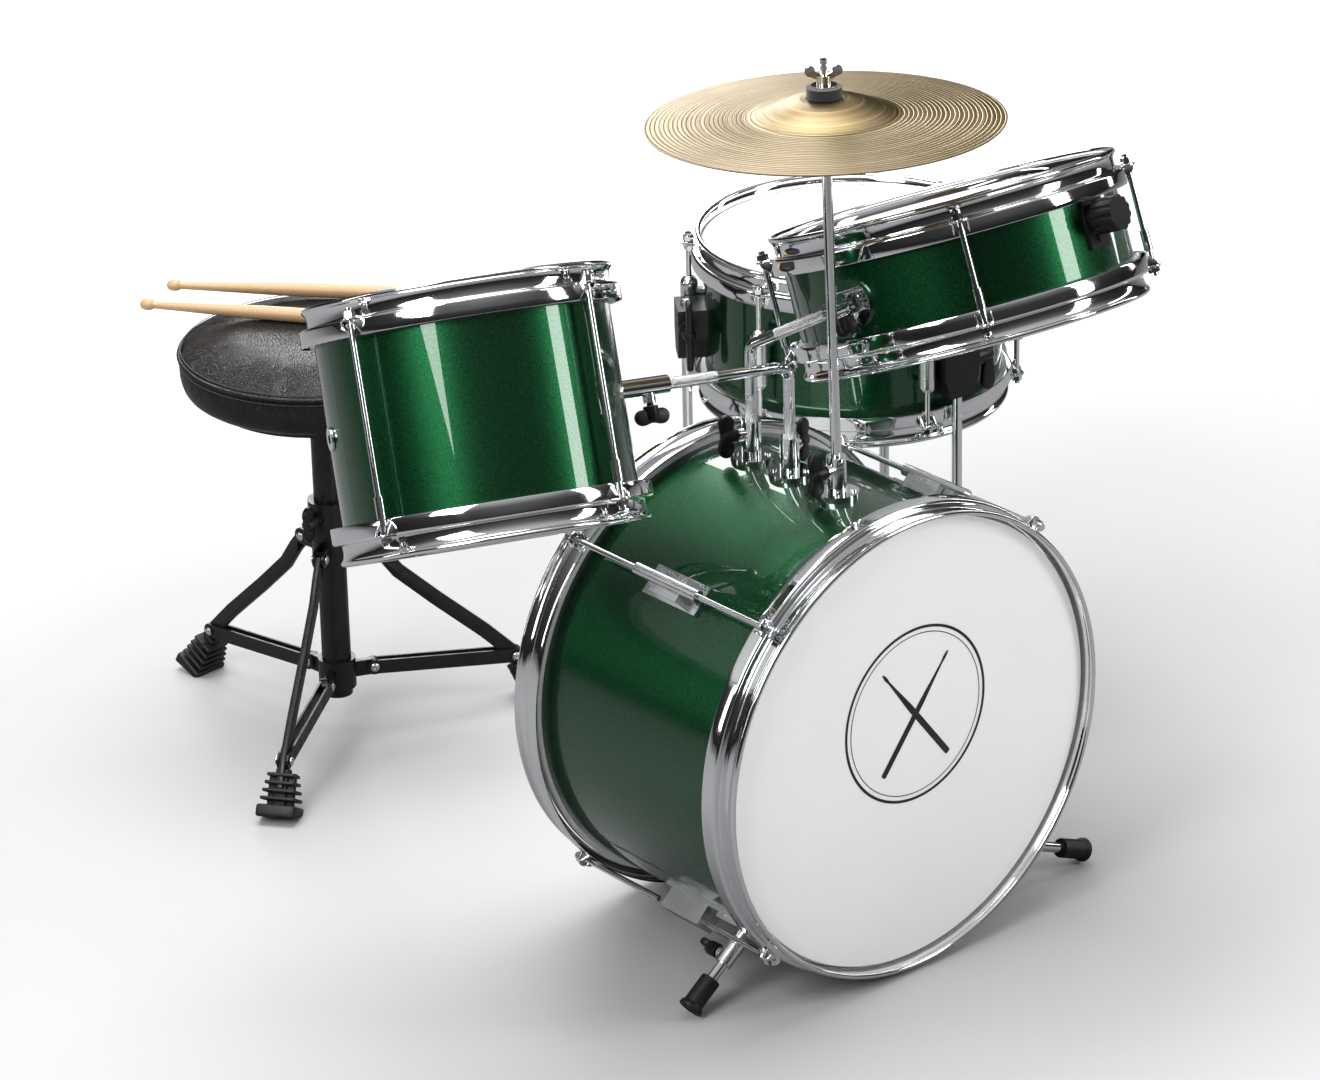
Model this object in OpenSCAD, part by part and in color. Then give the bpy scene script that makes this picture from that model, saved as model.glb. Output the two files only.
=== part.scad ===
// Junior acoustic drum kit: bass drum with two mounted toms and a cymbal,
// a floor tom on legs, a round stool and a pair of drumsticks.
// Z is up, the floor is Z = 0, and the bass drum's front head faces -Y.

/* [Bass drum] */
// outer radius of the bass drum shell
bass_r = 204; // [150:1:260]
// length over both hoop lips
bass_len = 292; // [220:1:400]
// width of each bass drum hoop
bass_hoop_w = 36; // [26:1:44]
// height of the bass drum axis above the floor
bass_cz = 217; // [170:1:280]

/* [Mounted toms] */
// shell radius of the deep tom
deep_r = 124; // [90:1:150]
// length of the deep tom over both lips
deep_len = 216; // [150:1:260]
// shell radius of the shallow tom
shallow_r = 149.5; // [110:0.5:180]
// length of the shallow tom over both lips
shallow_len = 129; // [100:1:200]
// width of the tom hoops
tom_hoop_w = 33; // [24:1:40]
// radius of the bent arms
arm_r = 5; // [4:0.25:7]

/* [Cymbal] */
// outer radius of the cymbal
cymbal_r = 152; // [100:1:200]
// radius of the cymbal rod
rod_r = 4.5; // [3.5:0.25:6]
// height of the cymbal edge above the floor
cymbal_z = 741; // [600:1:820]

/* [Floor tom] */
// shell radius of the floor tom
floor_r = 141; // [110:1:180]
// height of the lower lip above the floor
floor_z = 312; // [220:1:380]
// length of the floor tom over both lips
floor_len = 166; // [130:1:300]

/* [Stool] */
// radius of the stool cushion
seat_r = 140; // [110:1:170]
// height of the top of the cushion
seat_top = 412; // [340:1:480]
// thickness of the cushion
seat_t = 61; // [40:1:80]
// radius of the stool tube
tube_r = 14; // [11:0.5:18]

/* [Sticks] */
// length of a drumstick
stick_len = 405; // [320:1:420]
// radius of a drumstick
stick_r = 7; // [5.5:0.25:8]

/* [Hidden] */
$fn = 96;
// centre of the whole kit, moved to the origin
ox = 27;
oy = 313;
chrome = [0.82, 0.83, 0.85];
green = [0.08, 0.22, 0.13];
white = [0.93, 0.93, 0.92];
black = [0.05, 0.05, 0.05];
gold = [0.78, 0.64, 0.36];
wood = [0.85, 0.67, 0.45];
film = 0.8;
recess = 12;
rod_t = 2.6;
// bend of the deep tom arm, and the tom's place on it
db = [0, 18, 522];
d_az = 168.2;
d_el = 4.5;
d_roll = 25;
d_reach = 300;
d_drop = 105;
// bend of the shallow tom arm
sb = [0, 68, 527];
s_az = -73.9;
s_el = 29.7;
s_reach = 108;
s_pos = [187.4, 28.8, 629.7];
s_tilt = [-22.4, 0.8, 0];
cym_y = -43;
cym_tilt = [-3, 1, 0];
fx = 348;
fy = 321;
tx = -79;
ty = 591;
leg_az = [96.6, 216.6, 336.6];
block_az = [265, 145, 37];
ear = 36;
up_z = 192;
low_z = 59;
riv_x = 177;
riv_z = 49;

// ---- frames of the sub-assemblies ----
module kit() translate([-ox, -oy, 0]) children();
module bass() kit() translate([0, 0, bass_cz]) rotate([90, 0, 0]) children();
module deep_arm() kit() translate(db) rotate([0, 0, d_az]) children();
module deep() deep_arm() rotate([0, -d_el, 0]) rotate([d_roll, 0, 0])
  translate([d_reach, 0, d_drop]) children();
module shallow_arm() kit() translate(sb) rotate([0, 0, s_az]) children();
module shallow() kit() translate(s_pos) rotate(s_tilt) children();
module cym() kit() translate([0, cym_y, bass_cz + bass_r]) rotate(cym_tilt) children();
module floor_tom() kit() translate([fx, fy, floor_z + floor_len]) children();
module stool() kit() translate([tx, ty, 0]) children();
module both_ends(l) { children(); translate([0, 0, -l]) mirror([0, 0, 1]) children(); }
module around(a) for (t = a) rotate([0, 0, t]) children();

// ---- drum parts, with z = 0 at the lip and the drum below it ----
module shell(r, l, wall) translate([0, 0, -l + recess + film]) difference() {
  cylinder(r = r, h = l - 2 * recess - 2 * film);
  translate([0, 0, -1]) cylinder(r = r - wall, h = l);
}
module hoop(r, w, rl, rk, angles) difference() {
  union() {
    rotate_extrude() {
      translate([rl - 2.2, -2.2]) circle(r = 2.2, $fn = 32);
      translate([rl - 4.4, -w + 14]) square([1.6, w - 16.2]);
      translate([r + 1.4, -w + 14]) square([rk - r - 1.4, 1.6]);
      translate([rk - 1.6, -w]) square([1.6, 15.6]);
    }
    around(angles) {
      translate([rk - 1.2, -7, -w + 12.6]) cube([rod_t + 2, 14, 3]);
      translate([rk + rod_t + 0.6, 0, -w + 12.6]) cylinder(r = 7, h = 3, $fn = 48);
      for (s = [-7, 5.4]) translate([rk - 0.8, s, -w + 3]) cube([3.4, 1.6, 11]);
    }
  }
  around(angles) translate([rk + rod_t + 0.6, 0, -w]) cylinder(r = rod_t + 0.3, h = 30, $fn = 32);
}
module head(r, w) rotate_extrude() {
  translate([0, -recess - film]) square([r + 0.9, film]);
  translate([r + 0.1, -w + 8]) square([0.8, w - 8 - recess]);
  translate([r + 0.1, -w + 8]) square([4.2, 6]);
}
// hexagonal head standing on the hoop plate
module hex(z, h) translate([0, 0, z]) {
  cylinder(r = 5.2, h = h, $fn = 6);
  translate([0, 0, h]) cylinder(r = 3, h = 3, $fn = 32);
}
// rod from plate to plate with a nut at each end and a sleeve at the foot
module long_rod(x, w, l) translate([x, 0, 0]) {
  translate([0, 0, -l + w - 15.6]) cylinder(r = rod_t, h = l - 2 * w + 31.2, $fn = 32);
  hex(-w + 15.6, 5);
  translate([0, 0, -l + w + 0.4]) cylinder(r = 4, h = 18, $fn = 32);
  mirror([0, 0, 1]) hex(l - w + 15.6, 4);
}
// wing screw along +x: shank, collar and two rounded wings
module wing(shank, span, lobe = 8) {
  rotate([0, 90, 0]) cylinder(r = 3, h = shank + 2, $fn = 32);
  translate([shank, 0, 0]) rotate([0, 90, 0]) cylinder(r = 6.5, h = 12, $fn = 48);
  for (s = [-1, 1]) {
    translate([shank + 9 - 0.6 * lobe, -3, min(0, s * span)]) cube([1.2 * lobe, 6, span]);
    translate([shank + 9, -3, s * span]) rotate([-90, 0, 0]) cylinder(r = lobe, h = 6, $fn = 48);
  }
}
// rod going up z, turned towards +x by angle th at a rounded corner
module bent(r, z0, th, l) {
  translate([0, 0, z0]) cylinder(r = r, h = -z0, $fn = 48);
  sphere(r = r + 0.3, $fn = 64);
  rotate([0, th, 0]) cylinder(r = r, h = l, $fn = 48);
}

// ---- bass drum ----
b_rod_x = bass_r + 13 + rod_t + 0.6;
b_ang = [45, 135, 225, 315];
post_y = [-db[1], -sb[1], -cym_y];
module bass_shell() color(green) difference() {
  bass() translate([0, 0, bass_len / 2]) shell(bass_r, bass_len, 6);
  for (y = [db[1], sb[1]]) kit() translate([0, y, bass_cz + 150]) cylinder(r = arm_r + 1.5, h = 80);
  cym() translate([0, 0, -60]) cylinder(r = rod_r + 1.5, h = 90);
}
module bass_hoops() color(chrome) bass() translate([0, 0, bass_len / 2]) both_ends(bass_len)
  hoop(bass_r, bass_hoop_w, bass_r + 9, bass_r + 13, b_ang);
module bass_front_head() color(white) bass() translate([0, 0, bass_len / 2])
  head(bass_r, bass_hoop_w);
module bass_rear_head() color(white) bass() mirror([0, 0, 1]) translate([0, 0, bass_len / 2])
  head(bass_r, bass_hoop_w);
module bass_lugs() color(chrome) bass() difference() {
  around([45, 135]) {
    translate([bass_r - 4, -14, -34]) cube([7, 28, 68]);
    translate([bass_r + 1, -12, -17]) cube([13, 24, 34]);
    translate([b_rod_x, 0, -40]) cylinder(r = 5.6, h = 80, $fn = 48);
    for (s = [-30, 18]) translate([bass_r + 1, -5, s]) cube([13, 10, 12]);
  }
  translate([0, 0, -60]) cylinder(r = bass_r, h = 120, $fn = 480);
  around(b_ang) translate([b_rod_x, 0, -50]) cylinder(r = rod_t + 0.1, h = 100, $fn = 32);
}
module bass_rods() color(chrome) bass() around(b_ang) for (m = [0, 1]) mirror([0, 0, m])
  translate([b_rod_x, 0, 0]) {
    translate([0, 0, 22]) cylinder(r = rod_t, h = bass_len / 2 - bass_hoop_w - 6.4, $fn = 32);
    hex(bass_len / 2 - bass_hoop_w + 15.6, 6);
  }
// spur frame: x runs down the leg from the bracket, at height y along the drum
module spur_axis(at, y, dip) translate([at[0], at[1], y]) rotate([0, 0, -dip]) children();
module spur_bracket(at, y, dip, sleeve) difference() {
  union() {
    rotate([0, 0, -45]) {
      translate([bass_r - 5, -16, y - 84]) cube([8, 32, 94]);
      translate([bass_r + 1, -11, y - 80]) cube([20.5, 22, 48]);
      translate([bass_r + 1, -9, y - 20]) cube([6, 18, 26]);
    }
    spur_axis(at, y, dip) {
      translate([-9, 0, 0]) rotate([0, 90, 0]) cylinder(r = 7.8, h = sleeve, $fn = 64);
      translate([sleeve - 17, 0, -10]) cylinder(r = 5.6, h = 9, $fn = 48);
    }
  }
  translate([0, 0, -100]) cylinder(r = bass_r, h = 240, $fn = 480);
  rotate([0, 0, -45]) translate([b_rod_x, 0, -120]) cylinder(r = rod_t + 0.1, h = 260, $fn = 32);
  spur_axis(at, y, dip) {
    translate([-20, 0, 0]) rotate([0, 90, 0]) cylinder(r = 4.85, h = 70, $fn = 48);
    translate([sleeve - 17, 0, -30]) cylinder(r = 3.1, h = 30, $fn = 32);
  }
}
// straight leg that slides in the sleeve, with its rubber foot
module spur(at, y, dip, reach) spur_axis(at, y, dip) rotate([0, 90, 0]) {
  translate([0, 0, 6]) cylinder(r = 4.8, h = reach - 38, $fn = 48);
  translate([0, 0, reach - 33]) rotate_extrude()
    polygon([[0, 0], [8.2, 0], [9, 0.8], [9, 26.5], [11, 29.5], [11, 33], [0, 33]]);
}
module spur_screw(at, y, dip, sleeve) spur_axis(at, y, dip) translate([sleeve - 17, 0, -5.2])
  rotate([0, 90, 0]) rotate([90, 0, 0]) wing(7, 6);
l_at = [144.8, -161.6];
r_at = [144.8, -162.7];
module spur_brackets() color(chrome) bass() {
  mirror([1, 0, 0]) spur_bracket(l_at, 74, 38, 36);
  spur_bracket(r_at, 94, 22.6, 40);
}
module left_spur() color(chrome) bass() mirror([1, 0, 0]) spur(l_at, 74, 38, 75.9);
module right_spur() color(chrome) bass() spur(r_at, 94, 22.6, 114.9);
module left_spur_screw() color(black) bass() mirror([1, 0, 0]) spur_screw(l_at, 74, 38, 36);
module right_spur_screw() color(black) bass() spur_screw(r_at, 94, 22.6, 40);

// ---- post receivers on top of the shell ----
module receiver(r, s) difference() {
  union() {
    translate([0, 0, -6]) cylinder(r = 19, h = 10);
    cylinder(r = 8.5, h = 36);
    rotate([0, 0, s]) translate([0, 0, 24]) rotate([0, 90, 0]) cylinder(r = 6, h = 13, $fn = 48);
    for (a = [45, 135, 225, 315]) rotate([0, 0, a]) translate([14, 0, 3]) cylinder(r = 2.6, h = 2.6, $fn = 32);
  }
  translate([0, 0, -20]) cylinder(r = r + 0.08, h = 80, $fn = 48);
  rotate([0, 0, s]) translate([0, 0, 24]) rotate([0, 90, 0]) cylinder(r = 3.1, h = 30, $fn = 32);
}
module receivers() color(chrome) difference() {
  union() {
    kit() translate([0, db[1], bass_cz + bass_r]) receiver(arm_r, 20);
    kit() translate([0, sb[1], bass_cz + bass_r]) receiver(arm_r, 160);
    cym() receiver(rod_r, 180);
  }
  bass() translate([0, 0, -150]) cylinder(r = bass_r, h = 300, $fn = 480);
}
module post_screw(r) translate([r + 0.4, 0, 24]) wing(14 - r, 12);
module deep_post_screw() color(black) kit() translate([0, db[1], bass_cz + bass_r])
  rotate([0, 0, 20]) post_screw(arm_r);
module shallow_post_screw() color(black) kit() translate([0, sb[1], bass_cz + bass_r])
  rotate([0, 0, 160]) post_screw(arm_r);
module cymbal_post_screw() color(black) cym() rotate([0, 0, 180]) post_screw(rod_r);
module deep_tom_arm() color(chrome) deep_arm()
  bent(arm_r, bass_cz + bass_r - 60 - db[2], 90 - d_el, d_reach - deep_r - 10);
module shallow_tom_arm() color(chrome) shallow_arm()
  bent(arm_r, bass_cz + bass_r - 60 - sb[2], 90 - s_el, s_reach + 16);

// ---- cymbal, in the frame of its rod ----
c_h = 333;
c_in = 21;
function bow(r) = c_in * (0.32 * (1 - pow(r / cymbal_r, 2))
  + 0.68 * (r < 66 ? pow(cos(90 * max(0, r - 15) / 51), 1.4) : 0));
c_rs = [15, 20, 26, 32, 38, 44, 50, 56, 62, 66, 80, 95, 110, 125, 140, cymbal_r];
module cymbal_rod() color(chrome) cym() {
  translate([0, 0, -60]) cylinder(r = rod_r, h = 60 + c_h + c_in - 14, $fn = 48);
  translate([0, 0, c_h + c_in - 15]) cylinder(r = 10, h = 2.5, $fn = 48);
  translate([0, 0, c_h + c_in - 13]) cylinder(r = 3, h = 46, $fn = 32);
}
module cymbal() color(gold) cym() translate([0, 0, c_h]) rotate_extrude(convexity = 4)
  polygon(concat([[6.5, bow(15)]], [for (r = c_rs) [r, bow(r)]],
    [for (i = [15:-1:0]) [c_rs[i], bow(c_rs[i]) - 1.4]], [[6.5, bow(15) - 1.4]]));
module cymbal_felts() color(black) cym() {
  translate([0, 0, c_h + bow(15) - 1.4 - 9.6]) difference() {
    cylinder(r = 13, h = 9.4, $fn = 48);
    translate([0, 0, -1]) cylinder(r = 3.2, h = 20, $fn = 32);
  }
  translate([0, 0, c_h + bow(15) + 0.2]) difference() {
    cylinder(r = 15, h = 9, $fn = 48);
    translate([0, 0, -1]) cylinder(r = 3.2, h = 20, $fn = 32);
  }
}
module wing_nut() color(chrome) cym() translate([0, 0, c_h + bow(15) + 9.4]) difference() {
  union() {
    cylinder(r = 11, h = 1.8, $fn = 48);
    translate([0, 0, 1.8]) cylinder(r = 6, h = 8, $fn = 48);
    for (s = [0, 180]) rotate([0, 0, s - 38]) {
      translate([3.5, -1.4, 5]) rotate([0, -28, 0]) cube([9, 2.8, 5]);
      translate([11.5, -1.4, 13.5]) rotate([-90, 0, 0]) cylinder(r = 4.4, h = 2.8, $fn = 48);
    }
  }
  translate([0, 0, -1]) cylinder(r = 3.08, h = 30, $fn = 32);
}

// ---- deep tom ----
d_ang = [24.5, 114.5, 204.5, 294.5];
t_rod = 11 + rod_t + 0.6;
module deep_tom_shell() color(green) deep() difference() {
  shell(deep_r, deep_len, 5);
  translate([0, 0, -110]) rotate([0, 0, -12]) rotate([0, 90, 0]) cylinder(r = 6, h = 200, $fn = 48);
}
module deep_tom_hoops() color(chrome) deep() both_ends(deep_len)
  hoop(deep_r, tom_hoop_w, deep_r + 6.5, deep_r + 11, d_ang);
module deep_tom_heads() color(white) deep() both_ends(deep_len) head(deep_r, tom_hoop_w);
module deep_tom_rods() color(chrome) deep() around(d_ang)
  long_rod(deep_r + t_rod, tom_hoop_w, deep_len);
module deep_tom_bracket() color(chrome) deep() {
  rotate([0, 0, 180]) difference() {
    union() {
      translate([deep_r - 4, -14, -d_drop - 24]) cube([8, 28, 48]);
      translate([deep_r + 1, 0, -d_drop]) rotate([0, 90, 0]) cylinder(r = 12, h = 8);
      translate([deep_r + 1, 0, -d_drop]) rotate([0, 90, 0]) cylinder(r = 8, h = 56);
      translate([deep_r + 38, 0, -d_drop - 14]) cylinder(r = 5.5, h = 12, $fn = 48);
    }
    translate([0, 0, -200]) cylinder(r = deep_r, h = 200, $fn = 480);
    translate([deep_r + 4, 0, -d_drop]) rotate([0, 90, 0]) cylinder(r = arm_r + 0.08, h = 90, $fn = 48);
    translate([deep_r + 38, 0, -d_drop - 30]) cylinder(r = 3.1, h = 30, $fn = 32);
  }
  // air vent ring
  rotate([0, 0, -12]) translate([0, 0, -110]) rotate([0, 90, 0]) difference() {
    union() {
      translate([0, 0, deep_r - 4]) cylinder(r = 5.9, h = 6, $fn = 48);
      translate([0, 0, deep_r + 0.4]) cylinder(r = 10, h = 1.8, $fn = 48);
    }
    cylinder(r = 4, h = 200, $fn = 48);
  }
}
module deep_tom_screw() color(black) deep() rotate([0, 0, 180])
  translate([deep_r + 38, 0, -d_drop - arm_r - 0.5]) rotate([0, 90, 0]) wing(11, 9);

// ---- shallow tom ----
s_ang = [-127, -37, 53, 143];
module shallow_tom_shell() color(green) shallow() difference() {
  shell(shallow_r, shallow_len, 5);
  rotate([0, 0, -77]) translate([0, 0, -49.8]) rotate([0, 90, 0]) cylinder(r = 4.5, h = 200, $fn = 48);
}
module shallow_tom_hoops() color(chrome) shallow() both_ends(shallow_len)
  hoop(shallow_r, tom_hoop_w, shallow_r + 6.5, shallow_r + 11, s_ang);
module shallow_tom_heads() color(white) shallow() both_ends(shallow_len)
  head(shallow_r, tom_hoop_w);
module shallow_tom_rods() color(chrome) shallow() around(s_ang)
  long_rod(shallow_r + t_rod, tom_hoop_w, shallow_len);
module shallow_tom_bracket() color(chrome) difference() {
  union() {
    shallow() rotate([0, 0, -170.4]) translate([shallow_r - 4, 0, -67]) rotate([0, 90, 0])
      cylinder(r = 22, h = 7);
    shallow() rotate([0, 0, -170.4]) translate([shallow_r, 0, -67]) rotate([0, 90, 0])
      cylinder(r = 13, h = 20);
    shallow_arm() rotate([0, 90 - s_el, 0]) translate([0, 0, s_reach - 16]) cylinder(r = 8.5, h = 30);
  }
  shallow() translate([0, 0, -200]) cylinder(r = shallow_r, h = 200, $fn = 480);
  shallow_arm() rotate([0, 90 - s_el, 0]) cylinder(r = arm_r + 0.08, h = 200, $fn = 48);
  shallow_arm() rotate([0, 90 - s_el, 0]) rotate([0, 0, -17.4]) translate([0, 0, s_reach - 0.3])
    rotate([0, 90, 0]) {
      cylinder(r = 3.1, h = 30, $fn = 32);
      translate([0, 0, 8.8]) cylinder(r = 12.6, h = 30, $fn = 64);
    }
}
module shallow_tom_screw() color(black) shallow_arm() rotate([0, 90 - s_el, 0])
  rotate([0, 0, -17.4]) translate([arm_r + 0.4, 0, s_reach - 0.3]) wing(3.6, 5, 7);
module muffler_plate() color(black) shallow() rotate([0, 0, -77]) difference() {
  union() {
    translate([shallow_r - 5, -14, -76]) cube([8, 28, 46]);
    translate([shallow_r + 2, 0, -49.8]) rotate([0, 90, 0]) cylinder(r = 12, h = 4);
    translate([shallow_r + 2, 0, -67]) rotate([0, 90, 0]) cylinder(r = 4, h = 3.5, $fn = 48);
  }
  translate([0, 0, -200]) cylinder(r = shallow_r, h = 200, $fn = 480);
  translate([0, 0, -49.8]) rotate([0, 90, 0]) cylinder(r = 3.6, h = 300, $fn = 32);
}
module muffler_knob() color(black) shallow() rotate([0, 0, -77]) translate([0, 0, -49.8])
  rotate([0, 90, 0]) {
    translate([0, 0, shallow_r - 8]) cylinder(r = 3.5, h = 22, $fn = 32);
    difference() {
      translate([0, 0, shallow_r + 8]) cylinder(r = 15.5, h = 22);
      for (a = [0:30:330]) rotate([0, 0, a]) translate([17, 0, shallow_r]) cylinder(r = 2.8, h = 60, $fn = 32);
    }
  }
module muffler_pad() color(white) shallow() rotate([0, 0, -77]) {
  translate([96, -4, -26]) cube([40, 8, 2]);
  translate([134, -8, -52]) cube([2, 16, 28]);
  translate([100, 0, -24]) cylinder(r = 20, h = 6);
}

// ---- floor tom ----
f_ang = [14, 74, 134, 194, 254, 314];
f_rod_x = floor_r + t_rod;
module floor_tom_shell() color(green) floor_tom() shell(floor_r, floor_len, 5);
module floor_tom_hoops() color(chrome) floor_tom() both_ends(floor_len)
  hoop(floor_r, tom_hoop_w, floor_r + 6.5, floor_r + 11, f_ang);
module floor_tom_heads() color(white) floor_tom() both_ends(floor_len) head(floor_r, tom_hoop_w);
f_mid = -floor_len / 2;
module floor_tom_lugs() color(chrome) floor_tom() difference() {
  around(f_ang) {
    translate([f_rod_x, 0, f_mid - 22]) cylinder(r = 8.5, h = 44, $fn = 64);
    for (s = [-22, 22]) translate([f_rod_x, 0, f_mid + s]) sphere(r = 8.5, $fn = 64);
    for (s = [-18, 10]) translate([floor_r - 3, -4, f_mid + s]) cube([t_rod, 8, 8]);
  }
  translate([0, 0, -150]) cylinder(r = floor_r, h = 150, $fn = 480);
  around(f_ang) translate([f_rod_x, 0, f_mid - 50]) cylinder(r = rod_t + 0.1, h = 100, $fn = 32);
}
module floor_tom_rods() color(chrome) floor_tom() translate([0, 0, f_mid]) around(f_ang)
  for (m = [0, 1]) mirror([0, 0, m]) translate([f_rod_x, 0, 0]) {
    translate([0, 0, 14]) cylinder(r = rod_t, h = floor_len / 2 - tom_hoop_w + 1.6, $fn = 32);
    hex(floor_len / 2 - tom_hoop_w + 15.6, 5);
  }
lx = floor_r + 18;
module at_block(i) kit() translate([fx, fy, 384]) rotate([0, 0, block_az[i]]) children();
module leg_blocks() color(black) for (i = [0:2]) difference() {
  at_block(i) {
    translate([floor_r - 6, 0, 0]) rotate([90, 0, 90]) linear_extrude(33)
      polygon([[-20, 24], [20, 24], [20, -6], [13, -26], [-13, -26], [-20, -6]]);
    translate([lx, 18, 6]) rotate([-90, 0, 0]) cylinder(r = 9, h = 8, $fn = 48);
  }
  at_block(i) translate([0, 0, -50]) cylinder(r = floor_r, h = 100, $fn = 480);
  at_block(i) translate([lx, 0, -50]) cylinder(r = 4.88, h = 100, $fn = 48);
  at_block(i) translate([lx, 0, 6]) rotate([-90, 0, 0]) cylinder(r = 3.1, h = 60, $fn = 32);
}
module floor_leg(i) color(chrome) at_block(i) translate([lx, 0, -384]) {
  translate([0, 0, 8]) cylinder(r = 4.8, h = 404, $fn = 48);
  rotate_extrude() polygon([[0, 0], [11, 0], [11, 6], [9, 10], [9, 34], [0, 34]]);
}
module floor_leg_1() floor_leg(0);
module floor_leg_2() floor_leg(1);
module floor_leg_3() floor_leg(2);
module leg_screw(i) color(black) at_block(i) translate([lx, 5.4, 6]) rotate([0, 0, 90])
  wing(21.5, 28);
module leg_screw_1() leg_screw(0);
module leg_screw_2() leg_screw(1);
module leg_screw_3() leg_screw(2);

// ---- stool ----
seat_bot = seat_top - seat_t;
module seat_cushion() color(black) stool() translate([0, 0, seat_bot]) rotate_extrude() {
  square([seat_r - 22, seat_t]);
  translate([0, 22]) square([seat_r, seat_t - 44]);
  for (z = [22, seat_t - 22]) translate([seat_r - 22, z]) circle(r = 22);
}
module seat_base() color(black) stool() difference() {
  union() {
    translate([0, 0, seat_bot - 5]) cylinder(r = 105, h = 5);
    translate([0, 0, seat_bot - 44]) cylinder(r = 18, h = 41);
    for (a = [0, 90]) rotate([0, 0, a]) translate([-60, -8, seat_bot - 12]) cube([120, 16, 8]);
  }
  translate([0, 0, seat_bot - 60]) cylinder(r = tube_r + 0.08, h = 52);
}
module throne_ears(z, half) translate([0, 0, z]) {
  translate([0, 0, -15]) cylinder(r = tube_r + 4, h = 30);
  around(leg_az) if (half == 1) {
    translate([tube_r, -3, -8]) cube([ear - tube_r, 6, 16]);
    translate([ear, 3, 0]) rotate([90, 0, 0]) cylinder(r = 8, h = 6, $fn = 48);
    translate([ear, 7, 0]) rotate([90, 0, 0]) cylinder(r = 2.5, h = 14, $fn = 32);
  } else {
    for (s = [3.5, -5.5]) {
      translate([tube_r, s, -8]) cube([ear - tube_r, 2, 16]);
      translate([ear, s + 2, 0]) rotate([90, 0, 0]) cylinder(r = 8, h = 2, $fn = 48);
    }
    translate([ear, 7.5, 0]) rotate([90, 0, 0]) cylinder(r = 2.5, h = 15, $fn = 32);
  }
}
module throne_tube() color(black) stool() {
  translate([0, 0, 36]) cylinder(r = tube_r, h = seat_bot - 8.4 - 36);
  throne_ears(low_z, 1);
}
module throne_slider() color(black) stool() difference() {
  union() {
    throne_ears(up_z, 0);
    translate([0, 0, up_z + 14]) cylinder(r = tube_r + 6, h = 34);
    rotate([0, 0, 200]) translate([0, 0, up_z + 34]) rotate([0, 90, 0]) cylinder(r = 6.5, h = 25, $fn = 48);
  }
  translate([0, 0, up_z - 60]) cylinder(r = tube_r + 0.1, h = 140);
  rotate([0, 0, 200]) translate([0, 0, up_z + 34]) rotate([0, 90, 0]) cylinder(r = 3.1, h = 50, $fn = 32);
}
module throne_screw() color(black) stool() rotate([0, 0, 200])
  translate([tube_r + 0.6, 0, up_z + 34]) wing(11.5, 10);
// flat bar in the x-z plane from p to q
module bar(p, q, w) {
  a = atan2(q[1] - p[1], q[0] - p[0]);
  translate(p) rotate(a) translate([0, -w / 2]) square([norm(q - p), w]);
  for (e = [p, q]) translate(e) circle(r = w / 2 + 0.6, $fn = 48);
}
module flat(t, y) translate([0, y + t / 2, 0]) rotate([90, 0, 0]) linear_extrude(t) children();
module throne_leg(i) color(black) stool() rotate([0, 0, leg_az[i]]) {
  flat(6, 0) difference() {
    union() {
      bar([ear, up_z], [62, up_z - 34], 14);
      bar([62, up_z - 34], [riv_x - 30, riv_z + 30], 14);
      bar([riv_x - 30, riv_z + 30], [riv_x, riv_z], 14);
      bar([riv_x, riv_z], [riv_x + 16, 24], 14);
    }
    translate([ear, up_z]) circle(r = 2.8, $fn = 32);
    translate([riv_x, riv_z]) circle(r = 3.5, $fn = 32);
  }
  difference() {
    union() {
      translate([riv_x + 2, -19, 0]) cube([38, 38, 9]);
      translate([riv_x + 6, -13, 8]) cube([24, 26, 34]);
      for (z = [15, 24, 33]) translate([riv_x + 3, -17, z]) cube([30, 34, 4]);
    }
    translate([riv_x - 5, -3.3, 12]) cube([32.5, 6.6, 50]);
  }
}
module throne_leg_a() throne_leg(0);
module throne_leg_b() throne_leg(1);
module throne_leg_c() throne_leg(2);
module throne_brace(i) color(black) stool() rotate([0, 0, leg_az[i]]) {
  for (y = [-4.6, 4.6]) flat(2, y) difference() {
    bar([ear, low_z], [riv_x, riv_z], 14);
    translate([ear, low_z]) circle(r = 2.7, $fn = 32);
  }
  translate([riv_x, 8, riv_z]) rotate([90, 0, 0]) cylinder(r = 2.5, h = 16, $fn = 32);
}
module throne_brace_a() throne_brace(0);
module throne_brace_b() throne_brace(1);
module throne_brace_c() throne_brace(2);

// ---- sticks on the cushion ----
module stick() rotate([0, 90, 0]) rotate_extrude() polygon([[0, 0], [2.6, 1.5], [4.2, 5], [4.6, 9],
  [4, 14], [3.1, 17], [4.4, 45], [stick_r, 120], [stick_r, stick_len - 4],
  [stick_r - 3, stick_len], [0, stick_len]]);
module drumsticks() color(wood) kit() {
  translate([-127, 768, seat_top + stick_r + 0.3]) rotate([0, 0, -48.8]) stick();
  translate([-174, 745, seat_top + stick_r + 0.3]) rotate([0, 0, -54.3]) stick();
}

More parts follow.
